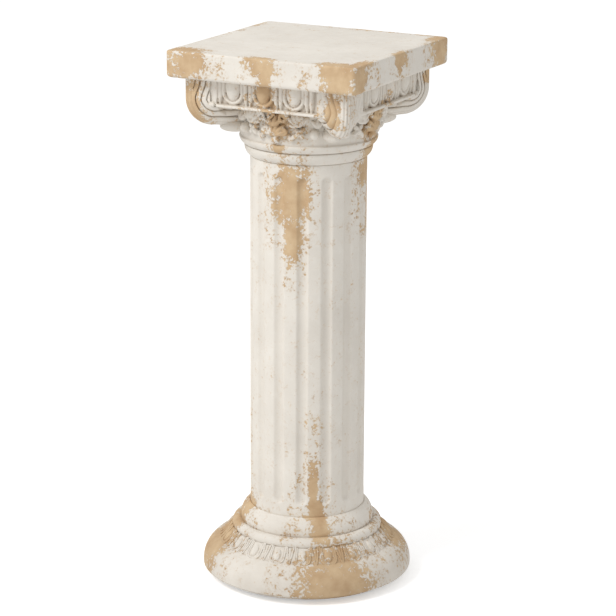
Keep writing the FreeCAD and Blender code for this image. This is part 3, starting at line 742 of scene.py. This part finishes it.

# %% [markdown]
# ## Where the paint has worn through
# The wear is a value at every point of the surface: 0 where the paint is whole and over 1
# where it is gone, with a slope between. Each worn place is a soft-sided cell, either a box
# (x, y, z and half sizes) or a stretch of the round parts (angle from the front, height and
# half sizes). In a flecked place the value stays low, so that the paint is only dotted with
# holes. Two more values come from the mesh itself: one is high in creases, where shade is
# painted, and the other on edges, where paint rubs off first.

# %% Wear and creases
BOX_WEAR = [
    # slab: front, then right, back and left
    (-112, -150, 783, 25, 16, 20), (-122, -134, 800, 28, 18, 7), (2, -150, 790, 23, 12, 16),
    (10, -150, 772, 9, 10, 12), (0, -143, 800, 20, 7, 7), (124, -150, 784, 28, 14, 26),
    (122, -138, 800, 34, 14, 7), (142, -120, 800, 10, 34, 7), (150, -134, 782, 12, 19, 30),
    (150, -8, 794, 10, 20, 14), (150, -12, 780, 8, 9, 12), (150, 122, 784, 14, 27, 26),
    (142, 130, 800, 13, 24, 7), (14, 148, 800, 16, 5, 6), (-60, 150, 772, 26, 10, 18),
    (120, 150, 780, 34, 12, 24), (-150, 110, 780, 12, 28, 20), (-150, -30, 778, 10, 22, 16),
    (-150, -140, 780, 12, 16, 26),
    # capital: middle of the front and right faces, scrolls, then the unseen sides
    (-3, -132, 742, 14, 14, 18), (8, -112, 704, 14, 26, 26), (112, -6, 702, 22, 17, 32),
    (-122, -122, 722, 18, 18, 30), (106, -130, 733, 13, 20, 24), (130, 118, 748, 9, 12, 12),
    (-126, 110, 730, 16, 22, 26), (20, 118, 700, 18, 24, 26), (-118, 20, 742, 16, 15, 18),
]
ROUND_WEAR = [
    # neck and shaft, from the top down
    (-26, 664, 6, 7), (-17, 594, 19, 42), (-16, 530, 9, 38), (78, 622, 19, 26),
    (85, 575, 8, 50), (72, 655, 13, 20), (6, 150, 5, 48), (7.5, 122, 8, 22), (-74, 112, 9, 18),
    (150, 560, 14, 60), (-140, 600, 16, 48), (175, 190, 10, 70), (-120, 150, 8, 50),
    # base
    (-84, 60, 18, 60), (12, 98, 9, 20), (17, 30, 21, 42), (90, 60, 15, 22),
    (158, 60, 18, 50), (-150, 30, 22, 40),
]
BOX_FLECKS = [
    (-100, -150, 779, 38, 12, 26), (2, -150, 782, 29, 12, 28), (112, -150, 784, 41, 12, 28),
    (150, -120, 784, 12, 36, 28), (150, -8, 787, 12, 28, 22), (150, 110, 784, 12, 38, 28),
    (0, 150, 782, 60, 12, 26), (-150, 30, 784, 12, 60, 26), (-122, -122, 715, 26, 26, 46),
    (104, -128, 728, 24, 24, 38), (8, -112, 700, 32, 28, 40), (-3, -132, 738, 34, 14, 26),
]
ROUND_FLECKS = [
    (-20, 588, 23, 56), (-16, 500, 11, 34), (80, 600, 26, 60), (6.5, 190, 8, 84),
    (6, 124, 19, 44), (-84, 175, 8, 80), (-84, 60, 27, 72), (14, 40, 29, 62), (88, 60, 24, 36),
    (150, 550, 22, 84), (170, 170, 18, 96), (-140, 590, 24, 66), (-148, 36, 32, 56),
]
BARE, FLECKED, BORDER_WEAR, WEAR_SLOPE = 1.3, 0.2, 0.5, 1.15
ROUND_PARTS = 118  # within this radius, or below the top of the base, all is round


def wear_in(cell, most):
    """Wear from a cell's measure, which is 0 in its middle and 1 on its border."""
    return np.minimum(BORDER_WEAR + WEAR_SLOPE * (1 - cell), most)


def worn_at(points):
    """Wear of each point, from its place in millimetres."""
    best = np.zeros(len(points))
    turn = np.degrees(np.arctan2(points[:, 1], points[:, 0])) - FRONT
    radius = np.hypot(points[:, 0], points[:, 1])
    on_round = (radius < ROUND_PARTS) | (points[:, 2] < BASE_HIGH)
    for boxes, rounds, most in ((BOX_WEAR, ROUND_WEAR, BARE),
                                (BOX_FLECKS, ROUND_FLECKS, FLECKED)):
        for x, y, z, hx, hy, hz in boxes:
            cell = (np.abs((points - (x, y, z)) / (hx, hy, hz)) ** 3).sum(1) ** (1 / 3)
            best = np.maximum(best, wear_in(cell, most))
        for angle, z, half_turn, hz in rounds:
            off = np.abs((turn - angle + 180) % 360 - 180) / half_turn
            cell = (off ** 3 + np.abs((points[:, 2] - z) / hz) ** 3) ** (1 / 3)
            best = np.maximum(best, np.where(on_round, wear_in(cell, most), 0))
    return best


def crease_of(mesh, rounds):
    """How hollow the surface is at each point, from the directions to its neighbours."""
    count = len(mesh.vertices)
    place, normal = read_points(mesh), read_points(mesh, "normal")
    ends = np.empty(len(mesh.edges) * 2, int)
    mesh.edges.foreach_get("vertices", ends)
    a, b = ends.reshape(-1, 2).T
    span = place[b] - place[a]
    span /= np.maximum(np.linalg.norm(span, axis=1), 1e-9)[:, None]
    total, number = np.zeros(count), np.zeros(count)
    np.add.at(total, a, (span * normal[a]).sum(1))
    np.add.at(total, b, (-span * normal[b]).sum(1))
    np.add.at(number, a, 1)
    np.add.at(number, b, 1)
    value = total / np.maximum(number, 1)
    for _ in range(rounds):
        spread = value.copy()
        np.add.at(spread, a, value[b])
        np.add.at(spread, b, value[a])
        value = spread / (number + 1)
    return value


def write_surface(thing, rounds, gain):
    """Store wear, crease and edge values on the object's points."""
    mesh = thing.data
    hollow = crease_of(mesh, rounds) * gain
    for label, values in (("wear", worn_at(read_points(mesh) / MM)),
                          ("crease", np.clip(hollow, 0, 1)), ("edge", np.clip(-hollow, 0, 1))):
        layer = mesh.attributes.new(label, "FLOAT", "POINT")
        layer.data.foreach_set("value", values.astype(np.float32))
    mesh.shade_smooth()
    mesh.calc_loop_triangles()
    print("%s: %d triangles" % (thing.name, len(mesh.loop_triangles)))


for casting, rounds, gain in ((bell, 1, 3.0), (scrolls, 1, 5.0), (frieze, 3, 6.0),
                              (foliage, 3, 5.0), (base, 1, 3.0), (base_ring, 1, 7.0),
                              (shaft, 1, 2.0), (slab, 0, 0.6)):
    write_surface(casting, rounds, gain)

# %% [markdown]
# ## Paint over a tan body
# The finish is one shader group, shared by all four castings. Noise at three scales breaks
# the edge of each worn place into flakes and specks. Shade is painted into the creases, and
# near the floor the paint is mixed a little darker, more towards the bottom. The paint is a
# thin layer, so the group also puts out a height, which makes the flakes' edges catch the light.

# %% Shader group: worn chalk paint
def srgb(r, g, b):
    """Colour as seen on screen, turned into the linear values that sockets take."""
    parts = [c / 255 for c in (r, g, b)]
    return tuple(c / 12.92 if c <= 0.04045 else ((c + 0.055) / 1.055) ** 2.4
                 for c in parts) + (1.0,)


def noise(tree, coords, scale, detail, roughness):
    """Noise texture's value."""
    return feed(tree, tree.nodes.new("ShaderNodeTexNoise"), Vector=coords, Scale=scale,
                Detail=detail, Roughness=roughness).outputs["Fac"]


def ranged(tree, value, low, high, to_low=0.0, to_high=1.0, smooth=False):
    """The value moved from one range to another, and kept within it."""
    node = tree.nodes.new("ShaderNodeMapRange")
    node.interpolation_type = "SMOOTHSTEP" if smooth else "LINEAR"
    return feed(tree, node, Value=value, From_Min=low, From_Max=high, To_Min=to_low,
                To_Max=to_high).outputs["Result"]


def mixed(tree, part, first, second):
    """Mix of two colours, each a socket or a plain colour."""
    node = tree.nodes.new("ShaderNodeMix")
    node.data_type = "RGBA"
    for number, value in ((0, part), (6, first), (7, second)):  # 6 and 7 are the colours
        put(tree, value, node.inputs[number])
    return node.outputs[2]


def worn_paint_group():
    """Paint that is whole, thin or gone by the wear value, with painted shade in the creases."""
    tree = bpy.data.node_groups.new("worn_chalk_paint", "ShaderNodeTree")
    face = tree.interface
    for label, kind in (("Wear", "NodeSocketFloat"), ("Crease", "NodeSocketFloat"),
                        ("Edge", "NodeSocketFloat"), ("Paint", "NodeSocketColor"),
                        ("Body", "NodeSocketColor"), ("Dirt", "NodeSocketColor")):
        face.new_socket(label, in_out="INPUT", socket_type=kind)
    for label, kind in (("Color", "NodeSocketColor"), ("Roughness", "NodeSocketFloat"),
                        ("Height", "NodeSocketFloat")):
        face.new_socket(label, in_out="OUTPUT", socket_type=kind)
    given, result = tree.nodes.new("NodeGroupInput"), tree.nodes.new("NodeGroupOutput")
    coords = tree.nodes.new("ShaderNodeTexCoord").outputs["Object"]
    level = given.outputs["Wear"]
    near = ranged(tree, level, 0.0, 0.4, 0.62, 1.0)
    for size, strength in ((34, 1.5), (110, 2.4), (290, 2.6)):
        flakes = maths(tree, "SUBTRACT", noise(tree, coords, size, 4.0, 0.62), 0.5)
        flakes = maths(tree, "MULTIPLY", flakes, maths(tree, "MULTIPLY", near, strength))
        level = maths(tree, "ADD", level, flakes)
    level = maths(tree, "ADD", level, maths(tree, "MULTIPLY", given.outputs["Edge"], 0.12))
    bare = ranged(tree, level, 0.47, 0.55, smooth=True)
    thin = ranged(tree, level, 0.15, 0.5, 0.0, 0.35)
    cloud = noise(tree, coords, 14, 4.0, 0.55)
    brush = noise(tree, coords, 60, 4.0, 0.6)
    paint = mixed(tree, ranged(tree, cloud, 0.35, 0.7, 0.0, 0.35), given.outputs["Paint"],
                  srgb(205, 197, 186))
    paint = mixed(tree, ranged(tree, brush, 0.5, 0.75, 0.0, 0.25), paint, srgb(244, 240, 233))
    body = mixed(tree, ranged(tree, noise(tree, coords, 38, 4.0, 0.6), 0.35, 0.68),
                 given.outputs["Body"], srgb(193, 162, 126))
    paint = mixed(tree, thin, paint, body)
    colour = mixed(tree, bare, paint, body)
    # painted shade: the creases are mixed towards the shade tint, broken up by the brush noise
    shade_tint = maths(tree, "MULTIPLY", given.outputs["Crease"],
                 ranged(tree, brush, 0.3, 0.65, 0.35, 1.0))
    colour = mixed(tree, shade_tint, colour, given.outputs["Dirt"])
    # darker towards the bottom: within 130 mm of the floor the paint is mixed a little towards
    # the same tint
    height_up = feed(tree, tree.nodes.new("ShaderNodeSeparateXYZ"), Vector=coords).outputs["Z"]
    darker_low = maths(tree, "MULTIPLY", ranged(tree, height_up, 0.0, 0.13, 0.2, 0.0),
                  ranged(tree, cloud, 0.3, 0.7, 0.6, 1.2))
    colour = mixed(tree, darker_low, colour, given.outputs["Dirt"])
    grain = noise(tree, coords, 900, 2.0, 0.6)
    height = maths(tree, "ADD", maths(tree, "MULTIPLY", bare, -0.55),
                   maths(tree, "ADD", maths(tree, "MULTIPLY", grain, 0.22),
                         maths(tree, "MULTIPLY", brush, 0.7)))
    tree.links.new(colour, result.inputs["Color"])
    tree.links.new(ranged(tree, bare, 0, 1, 0.82, 0.93), result.inputs["Roughness"])
    tree.links.new(height, result.inputs["Height"])
    return tree


WORN_PAINT = worn_paint_group()


def attribute(tree, label):
    """Value stored on the mesh's points."""
    node = tree.nodes.new("ShaderNodeAttribute")
    node.attribute_name = label
    return node.outputs["Fac"]


def new_material(name):
    """A material, its tree and its shader."""
    material = bpy.data.materials.new(name)
    material.use_nodes = True
    return material, material.node_tree, material.node_tree.nodes["Principled BSDF"]


def casting_material(name, paint, body, shade_tint, relief=0.35 * MM):
    """Material that places the paint group with its own colours."""
    material, tree, shader = new_material(name)
    group = tree.nodes.new("ShaderNodeGroup")
    group.node_tree = WORN_PAINT
    for label in ("Wear", "Crease", "Edge"):
        tree.links.new(attribute(tree, label.lower()), group.inputs[label])
    for label, colour in (("Paint", paint), ("Body", body), ("Dirt", shade_tint)):
        group.inputs[label].default_value = colour
    bump = feed(tree, tree.nodes.new("ShaderNodeBump"), Height=group.outputs["Height"],
                Distance=relief)
    feed(tree, shader, Base_Color=group.outputs["Color"], Roughness=group.outputs["Roughness"],
         Normal=bump.outputs["Normal"], Specular_IOR_Level=0.25)
    return material


# the third colour is the tint of the painted shade in creases, and of the darker paint near the
# floor
CREAM, TAN, SHADE_TINT = srgb(232, 226, 216), srgb(214, 188, 152), srgb(138, 118, 96)
chalk = casting_material("worn_chalk_paint", CREAM, TAN, SHADE_TINT)
print("group sockets:", [item.name for item in WORN_PAINT.interface.items_tree])

# %% [markdown]
# The hardware and the mortar hide inside, but they show in a cut or an exploded view, so
# they get a finish too: a speckled mortar, a faintly brushed zinc and a matte rubber.

# %% Hidden pieces
def plain_material(name, first, second, scale, roughness, metallic=0.0, relief=0.1 * MM,
                   stretch=(1, 1, 1)):
    """Two close colours under one noise, which also sets roughness and bump."""
    material, tree, shader = new_material(name)
    coords = tree.nodes.new("ShaderNodeTexCoord").outputs["Object"]
    mapping = feed(tree, tree.nodes.new("ShaderNodeMapping"), Vector=coords, Scale=stretch)
    grain = noise(tree, mapping.outputs["Vector"], scale, 4.0, 0.6)
    bump = feed(tree, tree.nodes.new("ShaderNodeBump"), Height=grain, Distance=relief)
    feed(tree, shader, Base_Color=mixed(tree, ranged(tree, grain, 0.35, 0.65), first, second),
         Roughness=ranged(tree, grain, 0.3, 0.7, roughness - 0.08, roughness + 0.08),
         Normal=bump.outputs["Normal"], Metallic=metallic)
    return material


FINISHES = {
    "mortar": plain_material("mortar", srgb(128, 118, 104), srgb(96, 88, 78), 300, 0.9),
    "steel": plain_material("zinc_steel", srgb(168, 170, 172), srgb(140, 142, 146), 200, 0.38,
                            1.0, 0.03 * MM, (6, 6, 0.6)),
    "pad": plain_material("rubber_pad", srgb(38, 37, 36), srgb(52, 51, 49), 400, 0.75),
}
slots = {part["node"]: part["material_slot"] for part in frame["record"]["subparts"]}
for node, thing in frame["nodes"].items():
    if slots[node] in FINISHES:
        for slot in thing.material_slots:
            slot.material = FINISHES[slots[node]]
print("finished:", sorted(n for n in slots if slots[n] in FINISHES))

# %% [markdown]
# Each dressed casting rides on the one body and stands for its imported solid.

# %% Seat the castings
for casting, node in ((slab, "top_slab"), (bell, "capital"), (scrolls, "capital"),
                      (frieze, "capital"), (foliage, "capital"), (shaft, "fluted_shaft"),
                      (base, "round_base"), (base_ring, "round_base")):
    casting.data.materials.clear()
    casting.data.materials.append(chalk)
    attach(casting, "root")
    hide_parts(node)

# %% [markdown]
# ## Stage and light
# A pale floor and a white surround. The lamp is large and soft, from the upper left, and the
# surround is the fill, so that a colour renders about as it is written. Rays from the camera,
# and reflected or refracted ones, see floor and surround as white.

# %% Stage
FLOOR_HALF, FLOOR_LEVEL, FLOOR_GLOW = 9000, -0.3, 0.42


def seen_rays(tree):
    """1 for a ray that shows the background, straight, mirrored or through glass."""
    path = tree.nodes.new("ShaderNodeLightPath")
    mirrored = maths(tree, "MAXIMUM", path.outputs["Is Glossy Ray"],
                     path.outputs["Is Transmission Ray"])
    return maths(tree, "MAXIMUM", path.outputs["Is Camera Ray"], mirrored)


def stage_material():
    """Floor that takes a shadow, and otherwise shows white."""
    material, tree, shader = new_material("pale_floor")
    feed(tree, shader, Base_Color=(0.9, 0.9, 0.9, 1), Roughness=1.0, Specular_IOR_Level=0.0,
         Emission_Color=(1, 1, 1, 1),
         Emission_Strength=maths(tree, "MULTIPLY", seen_rays(tree), FLOOR_GLOW))
    return material


def surround(fill):
    """World that lights at the strength of the fill and is seen as white."""
    world = bpy.data.worlds.new("surround")
    bpy.context.scene.world = world
    world.use_nodes = True
    tree = world.node_tree
    strength = maths(tree, "ADD", fill, maths(tree, "MULTIPLY", seen_rays(tree), 1.0 - fill))
    feed(tree, tree.nodes["Background"], Color=(1, 1, 1, 1), Strength=strength)


def soft_lamp(name, place, size, power):
    """Round area lamp that looks at the middle of the column."""
    data = bpy.data.lights.new(name, "AREA")
    data.shape, data.size, data.energy = "DISK", size, power
    lamp = bpy.data.objects.new(name, data)
    lamp.location = place
    aim = Vector((0, 0, 0.45)) - Vector(place)
    lamp.rotation_euler = aim.to_track_quat("-Z", "Y").to_euler()
    bpy.context.scene.collection.objects.link(lamp)


corners = [(-1, -1), (1, -1), (1, 1), (-1, 1)]
floor = as_object("floor", (np.array([(x * FLOOR_HALF, y * FLOOR_HALF, FLOOR_LEVEL)
                                      for x, y in corners]), [[0, 1, 2, 3]]))
floor.data.materials.append(stage_material())
surround(fill=0.67)
soft_lamp("key", place=(-1.45, -2.7, 3.5), size=1.6, power=86)
bpy.context.scene.view_settings.view_transform = "Standard"
